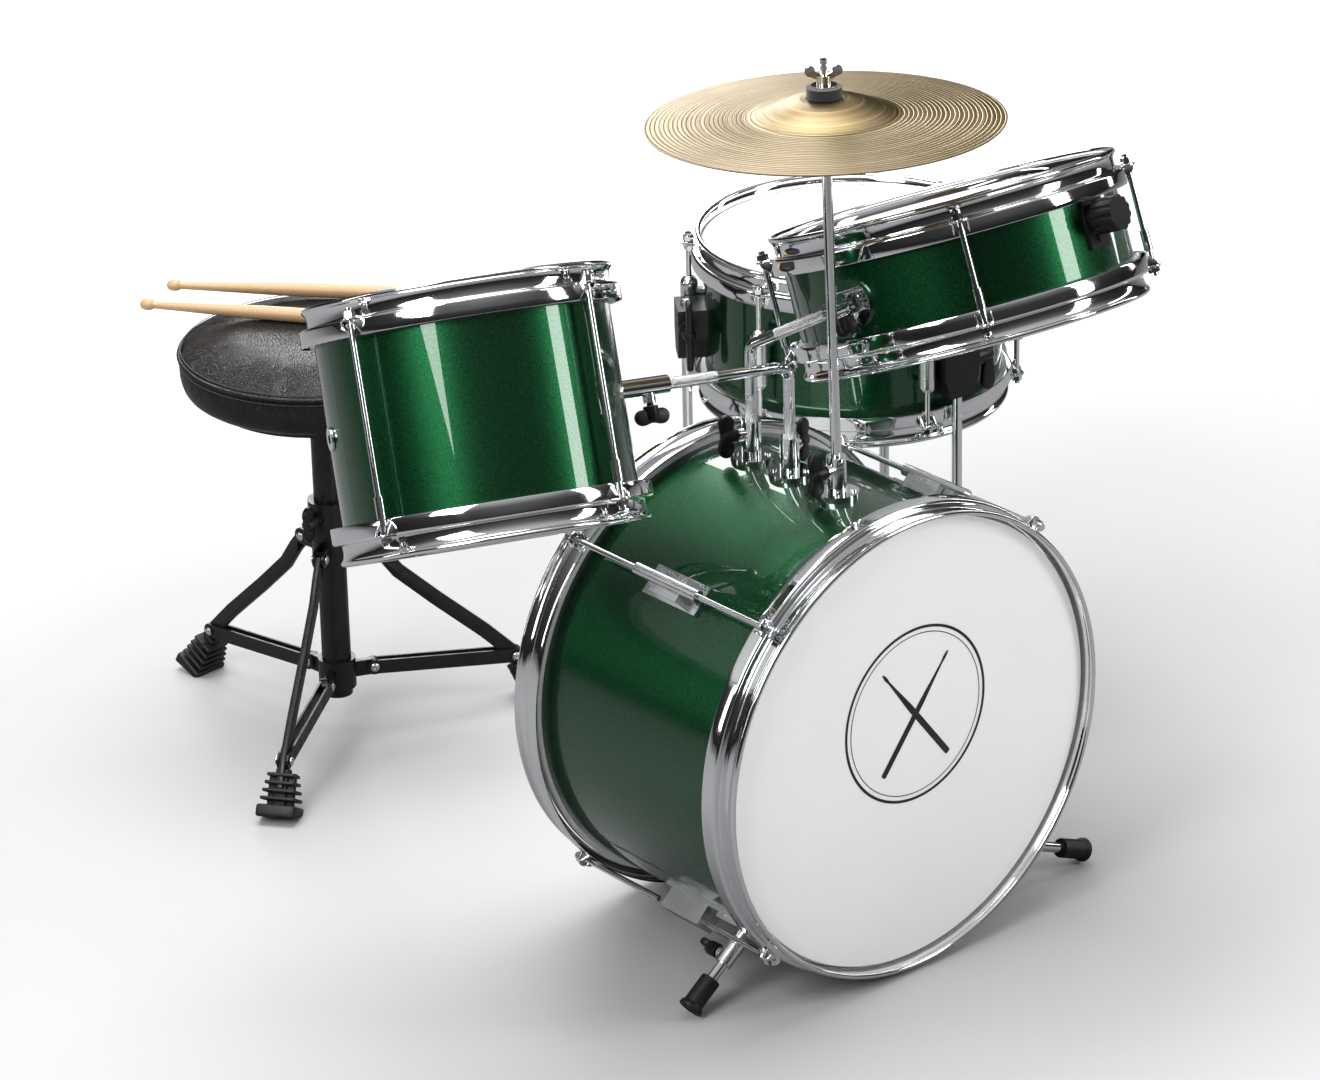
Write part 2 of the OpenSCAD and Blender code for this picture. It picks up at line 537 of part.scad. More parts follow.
bass_shell();
bass_hoops();
bass_front_head();
bass_rear_head();
bass_lugs();
bass_rods();
spur_brackets();
receivers();
left_spur();
right_spur();
left_spur_screw();
right_spur_screw();
deep_tom_arm();
shallow_tom_arm();
cymbal_rod();
deep_post_screw();
shallow_post_screw();
cymbal_post_screw();
cymbal();
cymbal_felts();
wing_nut();
deep_tom_shell();
deep_tom_hoops();
deep_tom_heads();
deep_tom_rods();
deep_tom_bracket();
deep_tom_screw();
shallow_tom_shell();
shallow_tom_hoops();
shallow_tom_heads();
shallow_tom_rods();
shallow_tom_bracket();
shallow_tom_screw();
muffler_plate();
muffler_knob();
muffler_pad();
floor_tom_shell();
floor_tom_hoops();
floor_tom_heads();
floor_tom_lugs();
floor_tom_rods();
leg_blocks();
floor_leg_1();
floor_leg_2();
floor_leg_3();
leg_screw_1();
leg_screw_2();
leg_screw_3();
seat_cushion();
seat_base();
throne_tube();
throne_slider();
throne_screw();
throne_leg_a();
throne_leg_b();
throne_leg_c();
throne_brace_a();
throne_brace_b();
throne_brace_c();
drumsticks();
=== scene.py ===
import math

import bmesh
import bpy
from mathutils import Matrix, Vector


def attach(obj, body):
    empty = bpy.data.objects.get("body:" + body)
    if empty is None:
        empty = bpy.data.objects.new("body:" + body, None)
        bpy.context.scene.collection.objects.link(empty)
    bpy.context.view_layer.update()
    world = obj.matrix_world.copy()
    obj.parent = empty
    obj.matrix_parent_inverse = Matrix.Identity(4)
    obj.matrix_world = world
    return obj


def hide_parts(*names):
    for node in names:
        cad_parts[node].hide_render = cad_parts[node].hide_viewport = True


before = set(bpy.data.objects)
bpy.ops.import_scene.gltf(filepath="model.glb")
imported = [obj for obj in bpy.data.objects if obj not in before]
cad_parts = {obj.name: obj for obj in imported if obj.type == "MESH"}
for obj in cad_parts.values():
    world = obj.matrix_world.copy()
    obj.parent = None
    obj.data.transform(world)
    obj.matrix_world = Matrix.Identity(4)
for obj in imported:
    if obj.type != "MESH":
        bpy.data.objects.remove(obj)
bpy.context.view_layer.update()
MM = 0.001                       # shapes are given in millimetres, meshes in metres

# ---------------------------------------------------------------- camera and stage
OX, OY = 27.0, 313.0
cam_data = bpy.data.cameras.new("camera")
cam = bpy.data.objects.new("camera", cam_data)
bpy.context.collection.objects.link(cam)
YAW, PITCH, ROLL = 0.692, 0.418, -0.025   # radians
EYE = (-2726.4, -3083.0, 2203.0)          # camera position in the CAD source's millimetres
FOCAL_PX, FRAME_PX, SENSOR_MM = 5198.4, 1320, 36.0
fwd = Vector((math.sin(YAW) * math.cos(PITCH), math.cos(YAW) * math.cos(PITCH), -math.sin(PITCH)))
right = Vector((math.cos(YAW), -math.sin(YAW), 0))
up = right.cross(fwd)
r2 = right * math.cos(ROLL) + up * math.sin(ROLL)
u2 = up * math.cos(ROLL) - right * math.sin(ROLL)
rot = Matrix((r2, u2, -fwd)).transposed().to_4x4()
cam.matrix_world = Matrix.Translation(Vector((EYE[0] - OX, EYE[1] - OY, EYE[2])) * MM) @ rot
cam_data.sensor_width = SENSOR_MM
cam_data.lens = FOCAL_PX / FRAME_PX * SENSOR_MM
cam_data.shift_x = 0.006
cam_data.shift_y = -0.006
cam_data.clip_end = 50
bpy.context.scene.camera = cam
bpy.context.scene.view_settings.view_transform = "Standard"


# ---------------------------------------------------------------- material helpers
class Nodes:
    def __init__(self, name):
        self.m = bpy.data.materials.new(name)
        self.m.use_nodes = True
        self.t = self.m.node_tree
        self.b = self.t.nodes["Principled BSDF"]

    def new(self, kind, **inputs):
        n = self.t.nodes.new(kind)
        for k, v in inputs.items():
            if k.startswith("_"):
                setattr(n, k[1:], v)
            else:
                n.inputs[k.replace("__", " ")].default_value = v
        return n

    def link(self, a, b):
        self.t.links.new(a, b)

    def coords(self, kind="Object", scale=(1, 1, 1)):
        tc = self.new("ShaderNodeTexCoord")
        mp = self.new("ShaderNodeMapping")
        mp.inputs["Scale"].default_value = scale
        self.link(tc.outputs[kind], mp.inputs["Vector"])
        return mp.outputs["Vector"]

    def noise(self, vec, scale, detail=3.0, rough=0.5):
        n = self.new("ShaderNodeTexNoise", Scale=scale, Detail=detail, Roughness=rough)
        self.link(vec, n.inputs["Vector"])
        return n.outputs["Fac"]

    def ramp(self, fac, stops):
        n = self.new("ShaderNodeValToRGB")
        e = n.color_ramp.elements
        while len(e) < len(stops):
            e.new(0.5)
        for el, (p, c) in zip(e, stops):
            el.position = p
            el.color = (*c, 1) if len(c) == 3 else c
        self.link(fac, n.inputs["Fac"])
        return n.outputs["Color"]

    def range(self, fac, lo, hi, a=0.0, b=1.0):
        n = self.new("ShaderNodeMapRange")
        n.inputs["From Min"].default_value = a
        n.inputs["From Max"].default_value = b
        n.inputs["To Min"].default_value = lo
        n.inputs["To Max"].default_value = hi
        self.link(fac, n.inputs["Value"])
        return n.outputs["Result"]

    def math(self, op, a, b=None):
        n = self.new("ShaderNodeMath", _operation=op)
        for i, v in enumerate((a, b)):
            if v is None:
                continue
            if isinstance(v, (int, float)):
                n.inputs[i].default_value = v
            else:
                self.link(v, n.inputs[i])
        return n.outputs[0]

    def bump(self, height, strength, dist=0.001, normal=None):
        n = self.new("ShaderNodeBump", Strength=strength, Distance=dist)
        self.link(height, n.inputs["Height"])
        if normal is not None:
            self.link(normal, n.inputs["Normal"])
        return n.outputs["Normal"]

    def set(self, **kw):
        for k, v in kw.items():
            self.b.inputs[k.replace("__", " ")].default_value = v
        return self

    def to(self, sock, name):
        self.link(sock, self.b.inputs[name])
        return self


def plated(name, tint, rough, spread=0.05):
    n = Nodes(name)
    v = n.coords()
    n.set(Metallic=1.0)
    smudge = n.noise(v, 18, 4)
    n.to(n.ramp(smudge, [(0.3, tuple(c * 0.93 for c in tint)), (0.7, tint)]), "Base Color")
    n.to(n.range(n.noise(v, 60, 3), rough, rough + spread, 0.35, 0.75), "Roughness")
    n.to(n.bump(n.noise(v, 14, 2), 0.05, 0.0015), "Normal")
    return n.m


def plastic(name, col, rough, grain=900, depth=0.12):
    n = Nodes(name)
    v = n.coords()
    n.set(Specular__IOR__Level=0.35)
    dark, light = tuple(c * 0.75 for c in col), tuple(c * 1.35 for c in col)
    n.to(n.ramp(n.noise(v, 25, 4), [(0.3, dark), (0.75, light)]), "Base Color")
    n.to(n.range(n.noise(v, 70, 3), rough - 0.06, rough + 0.1, 0.3, 0.7), "Roughness")
    n.to(n.bump(n.noise(v, grain, 2), depth, 0.0004), "Normal")
    return n.m


CHROME = plated("chrome_plate", (0.86, 0.87, 0.88), 0.045)
LUG = plated("lug_plate", (0.80, 0.81, 0.82), 0.16, 0.08)
STEEL = plated("zinc_steel", (0.66, 0.66, 0.64), 0.25, 0.1)
PLASTIC = plastic("black_plastic", (0.006, 0.006, 0.0065), 0.36)
RUBBER = plastic("black_rubber", (0.008, 0.008, 0.008), 0.45, 500, 0.2)
BLOCK = plastic("block_plastic", (0.006, 0.006, 0.0065), 0.40, 700, 0.15)


def wrap_material():
    n = Nodes("green_wrap")
    v = n.coords()
    flake = n.new("ShaderNodeTexVoronoi", Scale=1500.0)
    n.link(v, flake.inputs["Vector"])
    grain = n.math("ADD", n.math("MULTIPLY", flake.outputs["Distance"], 0.6),
                   n.math("MULTIPLY", n.noise(v, 1100, 2), 0.4))
    greens = [(0.2, (0.001, 0.024, 0.007)), (0.5, (0.003, 0.060, 0.018)), (0.85, (0.012, 0.150, 0.045))]
    n.to(n.ramp(grain, greens), "Base Color")
    n.set(Metallic=0.9, Coat__Weight=1.0, Coat__Roughness=0.02, Coat__IOR=1.5)
    n.to(n.range(n.noise(v, 900, 2), 0.24, 0.40, 0.3, 0.7), "Roughness")
    n.to(n.bump(flake.outputs["Distance"], 0.10, 0.0004), "Normal")
    return n.m


def head_material():
    n = Nodes("drumhead_film")
    v = n.coords()
    n.to(n.ramp(n.noise(v, 9, 3), [(0.3, (0.91, 0.915, 0.91)), (0.7, (0.94, 0.94, 0.935))]), "Base Color")
    n.to(n.range(n.noise(v, 300, 2), 0.30, 0.42, 0.3, 0.7), "Roughness")
    n.to(n.bump(n.noise(v, 900, 2), 0.04, 0.0003), "Normal")
    n.set(Coat__Weight=0.15, Coat__Roughness=0.2)
    return n.m


def leather_material():
    n = Nodes("black_leatherette")
    v = n.coords()
    n.set(Specular__IOR__Level=0.20)
    cell = n.new("ShaderNodeTexVoronoi", Scale=420.0, _feature="DISTANCE_TO_EDGE")
    n.link(v, cell.inputs["Vector"])
    pebble = n.range(cell.outputs["Distance"], 0.0, 1.0, 0.0, 0.14)
    blacks = [(0.3, (0.004, 0.004, 0.0045)), (0.75, (0.010, 0.010, 0.011))]
    n.to(n.ramp(n.noise(v, 22, 4), blacks), "Base Color")
    n.to(n.range(n.noise(v, 40, 4), 0.26, 0.40, 0.3, 0.7), "Roughness")
    n1 = n.bump(pebble, 0.60, 0.0006)
    n.to(n.bump(n.noise(v, 120, 4), 0.30, 0.0012, n1), "Normal")
    n.set(Coat__Weight=0.04, Coat__Roughness=0.22)
    return n.m


def paint_material():
    n = Nodes("black_paint")
    v = n.coords()
    n.set(Specular__IOR__Level=0.3)
    blacks = [(0.3, (0.005, 0.005, 0.005)), (0.75, (0.010, 0.010, 0.0105))]
    n.to(n.ramp(n.noise(v, 30, 4), blacks), "Base Color")
    n.to(n.range(n.noise(v, 80, 3), 0.24, 0.40, 0.3, 0.7), "Roughness")
    n.to(n.bump(n.noise(v, 450, 2), 0.12, 0.0006), "Normal")
    return n.m


def cymbal_material():
    """Lathed brass: fine rings and broader tonal bands (UV u is the radius, 1 at the rim)."""
    n = Nodes("lathed_brass")
    sep = n.new("ShaderNodeSeparateXYZ")
    n.link(n.coords("UV"), sep.inputs["Vector"])
    r = sep.outputs["X"]
    line = n.new("ShaderNodeCombineXYZ")
    n.link(r, line.inputs["X"])
    bands = n.noise(line.outputs["Vector"], 26, 4, 0.65)
    wave = n.math("SINE", n.math("MULTIPLY", r, 250.0))
    bow_only = n.range(r, 0.0, 1.0, 0.36, 0.44)
    line_ = n.math("MULTIPLY", n.math("POWER", n.range(wave, 0.0, 1.0, -1.0, 1.0), 10.0), bow_only)
    cloud = n.noise(n.coords(), 9, 3)
    mix = n.math("ADD", n.math("MULTIPLY", bands, 0.6), n.math("MULTIPLY", cloud, 0.4))
    mix = n.math("ADD", mix, n.math("MULTIPLY", line_, 0.30))
    brass = [(0.30, (0.125, 0.090, 0.042)), (0.5, (0.200, 0.150, 0.075)), (0.80, (0.46, 0.37, 0.23))]
    n.to(n.ramp(mix, brass), "Base Color")
    n.set(Metallic=1.0, Anisotropic=0.6, Anisotropic__Rotation=0.25)
    tan = n.new("ShaderNodeTangent", _direction_type="UV_MAP")
    tan.uv_map = "UVMap"
    n.link(tan.outputs["Tangent"], n.b.inputs["Tangent"])
    n.to(n.range(bands, 0.30, 0.44, 0.3, 0.7), "Roughness")
    groove = n.math("ADD", n.math("MULTIPLY", line_, -1.0), n.math("MULTIPLY", bands, 1.0))
    n.to(n.bump(groove, 0.55, 0.0008), "Normal")
    return n.m


def felt_material(name, col):
    n = Nodes(name)
    v = n.coords()
    fibre = n.noise(v, 700, 5, 0.7)
    dark, light = tuple(c * 0.6 for c in col), tuple(c * 1.4 for c in col)
    n.to(n.ramp(fibre, [(0.3, dark), (0.7, light)]), "Base Color")
    n.set(Sheen__Weight=0.4, Sheen__Roughness=0.5)
    n.to(n.range(fibre, 0.85, 0.98), "Roughness")
    n.to(n.bump(fibre, 0.7, 0.0008), "Normal")
    return n.m


def wood_material():
    n = Nodes("stick_wood")
    v = n.coords("UV", (1, 60, 1))
    grain = n.noise(v, 6, 5, 0.6)
    woods = [(0.3, (0.36, 0.21, 0.10)), (0.5, (0.50, 0.32, 0.165)), (0.75, (0.60, 0.41, 0.23))]
    n.to(n.ramp(grain, woods), "Base Color")
    n.to(n.range(grain, 0.36, 0.52, 0.3, 0.7), "Roughness")
    n.to(n.bump(grain, 0.12, 0.0004), "Normal")
    n.set(Coat__Weight=0.15, Coat__Roughness=0.25)
    return n.m


def knurl_material():
    """Chrome with a diamond knurl; UV x runs round the rod and y along it, in millimetres."""
    n = Nodes("chrome_knurl")
    sep = n.new("ShaderNodeSeparateXYZ")
    n.link(n.coords("UV"), sep.inputs["Vector"])
    a = n.math("ADD", sep.outputs["X"], sep.outputs["Y"])
    b = n.math("SUBTRACT", sep.outputs["X"], sep.outputs["Y"])
    h = n.math("ADD", n.math("ABSOLUTE", n.math("SINE", n.math("MULTIPLY", a, 2.4))),
               n.math("ABSOLUTE", n.math("SINE", n.math("MULTIPLY", b, 2.4))))
    v = n.coords()
    n.set(Metallic=1.0)
    # The base colour is darker along the knurl's grooves: painted shade in the recesses.
    n.to(n.ramp(h, [(0.2, (0.62, 0.63, 0.64)), (0.9, (0.86, 0.87, 0.88))]), "Base Color")
    n.to(n.range(n.noise(v, 60, 3), 0.10, 0.22, 0.35, 0.75), "Roughness")
    n.to(n.bump(h, 0.6, 0.0005), "Normal")
    return n.m


GREEN = wrap_material()
HEAD = head_material()
LEATHER = leather_material()
PAINT = paint_material()
FELT = felt_material("black_felt", (0.014, 0.014, 0.014))
PALE_FELT = felt_material("pale_felt", (0.45, 0.45, 0.42))
WOOD = wood_material()
KNURL = knurl_material()
BRASS = cymbal_material()


# ---------------------------------------------------------------- mesh helpers (millimetres in, metres out)
def rx(a): return Matrix.Rotation(math.radians(a), 4, "X")
def ry(a): return Matrix.Rotation(math.radians(a), 4, "Y")
def rz(a): return Matrix.Rotation(math.radians(a), 4, "Z")
def tr(x, y, z): return Matrix.Translation((x, y, z))


KIT = tr(-OX, -OY, 0)
BASS = KIT @ tr(0, 0, 217) @ rx(90)
DEEP_ARM = KIT @ tr(0, 18, 522) @ rz(168.2)
DEEP = DEEP_ARM @ ry(-4.5) @ rx(25) @ tr(300, 0, 105)
SHALLOW_ARM = KIT @ tr(0, 68, 527) @ rz(-73.9)
SHALLOW = KIT @ tr(187.4, 28.8, 629.7) @ ry(0.8) @ rx(-22.4)
CYM = KIT @ tr(0, -43, 421) @ ry(1) @ rx(-3)
FLOOR = KIT @ tr(348, 321, 478)
STOOL = KIT @ tr(-79, 591, 0)


def make(name, verts, faces, mat4, material, body, cad=(), uvs=None, sharp=35, mats=None, midx=None):
    me = bpy.data.meshes.new(name)
    pts = [tuple((mat4 @ Vector(v)) * MM) for v in verts]
    me.from_pydata(pts, [], faces)
    if uvs is not None:
        layer = me.uv_layers.new(name="UVMap")
        for p in me.polygons:
            for li in p.loop_indices:
                layer.data[li].uv = uvs(p, me.loops[li].vertex_index)
    bm = bmesh.new()
    bm.from_mesh(me)
    bmesh.ops.recalc_face_normals(bm, faces=bm.faces)
    bm.to_mesh(me)
    bm.free()
    me.materials.append(material)
    for m in mats or ():
        me.materials.append(m)
    if midx is not None:
        for p, i in zip(me.polygons, midx):
            p.material_index = i
    for p in me.polygons:
        p.use_smooth = True
    me.set_sharp_from_angle(angle=math.radians(sharp))
    ob = bpy.data.objects.new(name, me)
    bpy.context.collection.objects.link(ob)
    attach(ob, body)
    if cad:
        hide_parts(*cad)
    return ob


class Part:
    """Collects several closed shapes into one piece."""

    def __init__(self):
        self.v, self.f, self.uv = [], [], []

    def add(self, verts, faces, m=None, uv=None):
        base = len(self.v)
        self.v += [tuple(m @ Vector(p)) if m is not None else tuple(p) for p in verts]
        self.f += [tuple(i + base for i in f) for f in faces]
        self.uv += list(uv) if uv is not None else [(0.0, 0.0)] * len(verts)
        return self

    def make(self, name, mat4, material, body, slot, cad=(), sharp=35):
        uv = self.uv
        return make(name, self.v, self.f, mat4, material, body, cad,
                    uvs=lambda p, vi: uv[vi], sharp=sharp)


def lathe(profile, seg=96, closed=False):
    """Turns (r, z) points about z. A point with r = 0 becomes a pole."""
    v, f, uv = [], [], []
    ring = []
    length = 0.0
    for i, (r, z) in enumerate(profile):
        if i:
            length += math.hypot(r - profile[i - 1][0], z - profile[i - 1][1])
        if r < 1e-6:
            ring.append([len(v)])
            v.append((0, 0, z))
            uv.append((0.0, length))
        else:
            ring.append(list(range(len(v), len(v) + seg)))
            for k in range(seg):
                a = 2 * math.pi * k / seg
                v.append((r * math.cos(a), r * math.sin(a), z))
                uv.append((r, length))
    n = len(profile)
    for i in range(n if closed else n - 1):
        a, b = ring[i], ring[(i + 1) % n]
        for k in range(seg):
            k2 = (k + 1) % seg
            if len(a) == 1 and len(b) == 1:
                continue
            if len(a) == 1:
                f.append((a[0], b[k], b[k2]))
            elif len(b) == 1:
                f.append((a[k], b[0], a[k2]))
            else:
                f.append((a[k], b[k], b[k2], a[k2]))
    return v, f, uv


def thick(path, t):
    """A closed outline of thickness t about an open path of (r, z) points."""
    p = [Vector(q) for q in path]
    left, rightside = [], []
    for i, q in enumerate(p):
        d = (p[min(i + 1, len(p) - 1)] - p[max(i - 1, 0)]).normalized()
        nrm = Vector((-d.y, d.x))
        left.append(tuple(q + nrm * t / 2))
        rightside.append(tuple(q - nrm * t / 2))
    return left + rightside[::-1]


def tube(points, r, seg=24, cap=True):
    """A round rod along points; UV is (mm round, mm along)."""
    p = [Vector(q) for q in points]
    v, f, uv = [], [], []
    d0 = (p[1] - p[0]).normalized()
    side = d0.cross(Vector((0, 0, 1)))
    if side.length < 0.1:
        side = d0.cross(Vector((0, 1, 0)))
    side.normalize()
    along = 0.0
    for i, q in enumerate(p):
        if i:
            along += (q - p[i - 1]).length
        d = (p[min(i + 1, len(p) - 1)] - p[max(i - 1, 0)]).normalized()
        side = (side - d * side.dot(d)).normalized()
        up_ = d.cross(side)
        for k in range(seg):
            a = 2 * math.pi * k / seg
            v.append(tuple(q + (side * math.cos(a) + up_ * math.sin(a)) * r))
            uv.append((2 * math.pi * r * abs(k / seg - 0.5) * 2, along))
    for i in range(len(p) - 1):
        for k in range(seg):
            k2 = (k + 1) % seg
            f.append((i * seg + k, i * seg + k2, (i + 1) * seg + k2, (i + 1) * seg + k))
    if cap:
        f.append(tuple(range(seg))[::-1])
        f.append(tuple(range((len(p) - 1) * seg, len(p) * seg)))
    return v, f, uv


def corner(a, b, c, rho, n=12):
    """Points of a rounded corner at b between the lines a-b and b-c."""
    a, b, c = Vector(a), Vector(b), Vector(c)
    u, w = (a - b).normalized(), (c - b).normalized()
    th = math.pi - u.angle(w)
    t = rho * math.tan(th / 2)
    centre = b + (u + w).normalized() * (rho / math.cos(th / 2))
    p0, p1 = b + u * t - centre, b + w * t - centre
    out = []
    for i in range(n + 1):
        s = i / n
        q = p0 * (math.sin((1 - s) * th) / math.sin(th)) + p1 * (math.sin(s * th) / math.sin(th))
        out.append(tuple(centre + q))
    return out


def rounded_box(size, bevel, m=None, seg=3):
    bm = bmesh.new()
    bmesh.ops.create_cube(bm, size=1.0)
    for v_ in bm.verts:
        v_.co = Vector((v_.co.x * size[0], v_.co.y * size[1], v_.co.z * size[2]))
    bmesh.ops.bevel(bm, geom=bm.edges[:], offset=bevel, segments=seg, profile=0.5, affect="EDGES")
    v = [tuple(q.co) for q in bm.verts]
    f = [tuple(x.index for x in p.verts) for p in bm.faces]
    bm.free()
    return ([tuple(m @ Vector(q)) for q in v] if m is not None else v), f


def slab(outline, t, bevel, seg=2):
    """An outline in x-y extruded to +-t/2 in z with rounded edges."""
    bm = bmesh.new()
    vs = [bm.verts.new((x, y, -t / 2)) for x, y in outline]
    face = bm.faces.new(vs)
    r = bmesh.ops.extrude_face_region(bm, geom=[face])
    raised = [g for g in r["geom"] if isinstance(g, bmesh.types.BMVert)]
    bmesh.ops.translate(bm, vec=(0, 0, t), verts=raised)
    bmesh.ops.recalc_face_normals(bm, faces=bm.faces)
    if bevel > 0:
        rim = [e for e in bm.edges if abs(e.verts[0].co.z - e.verts[1].co.z) < 1e-6]
        bmesh.ops.bevel(bm, geom=rim, offset=bevel, segments=seg, profile=0.5, affect="EDGES")
    bm.verts.index_update()
    v = [tuple(q.co) for q in bm.verts]
    f = [tuple(x.index for x in p.verts) for p in bm.faces]
    bm.free()
    return v, f


# ---------------------------------------------------------------- CAD nodes that stay: materials only
def paint(material, *nodes):
    for nme in nodes:
        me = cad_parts[nme].data
        me.materials.clear()
        me.materials.append(material)


paint(GREEN, "bass_shell", "deep_tom_shell", "shallow_tom_shell", "floor_tom_shell")
paint(HEAD, "bass_front_head", "bass_rear_head", "deep_tom_heads", "shallow_tom_heads", "floor_tom_heads")
paint(LUG, "bass_lugs", "floor_tom_lugs", "spur_brackets")
paint(CHROME, "bass_rods", "receivers", "cymbal_rod", "wing_nut", "deep_tom_rods", "shallow_tom_rods",
      "floor_tom_rods", "deep_tom_bracket", "shallow_tom_bracket")
paint(PLASTIC, "muffler_plate", "muffler_knob")
paint(BLOCK, "leg_blocks")
paint(FELT, "cymbal_felts")
paint(PALE_FELT, "muffler_pad")
paint(PAINT, "seat_base", "throne_tube", "throne_slider",
      "throne_brace_a", "throne_brace_b", "throne_brace_c")


# ---------------------------------------------------------------- hoops
def arc(cx, cy, r, a0, a1, n):
    return [(cx + r * math.cos(math.radians(a0 + (a1 - a0) * i / n)),
             cy + r * math.sin(math.radians(a0 + (a1 - a0) * i / n))) for i in range(n + 1)]


def hoop(w, rl, rk, angles, flip, l):
    """Pressed hoop w deep: rolled lip at rl, band, shoulder, skirt at rk and rod ears."""
    band = rl - 3.6
    path = arc(rl - 2.5, -2.6, 1.9, 215, -60, 14)
    path += [(band + 0.4, -6.5), (band - 0.2, -9.5), (band - 0.5, -w + 20), (band - 0.3, -w + 17.5)]
    path += arc(band + 1.6, -w + 16.6, 1.9, 190, 262, 5)
    path += [(rk - 3.4, -w + 14.6)]
    path += arc(rk - 3.0, -w + 12.2, 2.4, 88, 0, 6)
    path += [(rk - 0.65, -w + 6), (rk - 0.6, -w + 1.2), (rk - 0.9, -w + 0.6)]
    part = Part()
    v, f, uv = lathe(thick(path, 1.3), 128, closed=True)
    part.add(v, f, None, uv)
    x = rk + 3.2
    for a in angles:
        m = rz(a)
        nose = arc(x, 0, 7, -75, 75, 10)
        tab = [(rk - 2.0, -8.5), (x + 1, -7.2)] + nose + [(x + 1, 7.2), (rk - 2.0, 8.5)]
        v, f = slab(tab, 2.4, 0.7)
        part.add(v, f, m @ tr(0, 0, -w + 14.1))
        for s in (-1, 1):
            rib = [(rk - 1.2, -w + 13.4), (x + 4.5, -w + 13.4), (x + 3.4, -w + 9.5),
                   (rk + 0.2, -w + 3.0), (rk - 1.2, -w + 3.0)]
            v, f = slab(rib, 1.6, 0.4)
            part.add([(p[0], p[2] + s * 6.6, p[1]) for p in v], f, m)
    if flip:
        part.v = [(p[0], p[1], -l - p[2]) for p in part.v]
        part.f = [q[::-1] for q in part.f]
    return part


def hoops(name, frame_, body, w, rl, rk, angles, l, cad):
    """The pair of hoops on a shell of length l, the second turned over."""
    for end, flip in (("_top", False), ("_bottom", True)):
        hoop(w, rl, rk, angles, flip, l).make(name + end, frame_, CHROME, body, "chrome_plate", (cad,))


hoops("bass_hoop", BASS @ tr(0, 0, 146), "kit", 36, 213, 217, (45, 135, 225, 315), 292, "bass_hoops")
hoops("deep_tom_hoop", DEEP, "deep_tom", 33, 130.5, 135, (24.5, 114.5, 204.5, 294.5), 216,
      "deep_tom_hoops")
hoops("shallow_tom_hoop", SHALLOW, "shallow_tom", 33, 156, 160.5, (-127, -37, 53, 143), 129,
      "shallow_tom_hoops")
hoops("floor_tom_hoop", FLOOR, "floor_tom", 33, 147.5, 152, (14, 74, 134, 194, 254, 314), 166,
      "floor_tom_hoops")


# ---------------------------------------------------------------- ring and crossed sticks on the front head
INK = plastic("printed_ink", (0.018, 0.018, 0.020), 0.5, 1200, 0.05)


def ring_flat(r0, r1, z0, z1, cx, cy):
    v, f, uv = lathe([(r0, z0), (r1, z0), (r1, z1), (r0, z1)], 160, closed=True)
    return [(p[0] + cx, p[1] + cy, p[2]) for p in v], f


def stick_outline(length, wide):
    """Half-width against length for a stick lying flat, as one outline."""
    prof = [(0, 0.0), (0.01, 0.32), (0.035, 0.52), (0.06, 0.55), (0.085, 0.42), (0.10, 0.36),
            (0.2, 0.52), (0.32, 0.8), (0.42, 1.0), (0.985, 1.0), (1.0, 0.7)]
    up_ = [(t * length - length / 2, h * wide) for t, h in prof]
    return up_ + [(x, -y) for x, y in up_[::-1][:-1]]


def print_motif():
    part = Part()
    cx, cy, z = 6.0, 26.0, 134.12
    for r0, r1 in ((79, 81.6), (74.6, 75.4)):
        v, f = ring_flat(r0, r1, z, z + 0.12, cx, cy)
        part.add(v, f)
    for a in (52, 128):
        v, f = slab(stick_outline(124, 3.0), 0.12, 0)
        part.add(v, f, tr(cx, cy, z + 0.06 + (0.002 if a > 90 else 0)) @ rz(a) @ rz(180))
    part.make("front_head_print", BASS, INK, "kit", "black_paint")


print_motif()


# ---------------------------------------------------------------- wing screws
def wing_shape(span, lobe=8.0, waist=5.5, n=28):
    """Outline (x along the screw, y across) of a two-lobed wing."""
    top, bot = [], []
    for i in range(n + 1):
        y = (span + lobe) * math.cos(math.pi * i / n)
        d = abs(y) - span
        h = math.sqrt(max(0.0, lobe * lobe - d * d)) if d > 0 else lobe
        if d <= 0:
            widen = 0.5 - 0.5 * math.cos(math.pi * min(1.0, abs(y) / span))
            h = min(h, waist + (lobe - waist) * widen)
        top.append((9 + h, y))
        bot.append((9 - h * 0.9, y))
    return top + bot[1:-1][::-1]


SWAP_YZ = Matrix(((1, 0, 0, 0), (0, 0, 1, 0), (0, 1, 0, 0), (0, 0, 0, 1)))


def wing_screw(name, m, shank, span, body, big=1.0):
    """A wing screw along x; the body and the CAD node that it replaces share a name."""
    part = Part()
    v, f = slab(wing_shape(span, 8.0 * big), 6.0, 1.9, 3)
    part.add(v, f, m @ tr(shank, 0, 0) @ SWAP_YZ)
    hub = [(0, 0), (5.9, 0), (6.5, 0.8), (6.5, 9.5), (5.4, 12.6), (3.0, 14.2), (0, 14.6)]
    v, f, uv = lathe(hub, 32)
    part.add(v, f, m @ tr(shank, 0, 0) @ ry(90))
    v, f, uv = lathe([(0, -0.2), (2.95, 0), (2.95, shank + 1), (0, shank + 1.2)], 20)
    part.add(v, f, m @ ry(90))
    return part.make(name, Matrix.Identity(4), PLASTIC, body, "black_plastic", (body,))


def post(frame_, r, spin):
    return frame_ @ rz(spin) @ tr(r + 0.4, 0, 24)


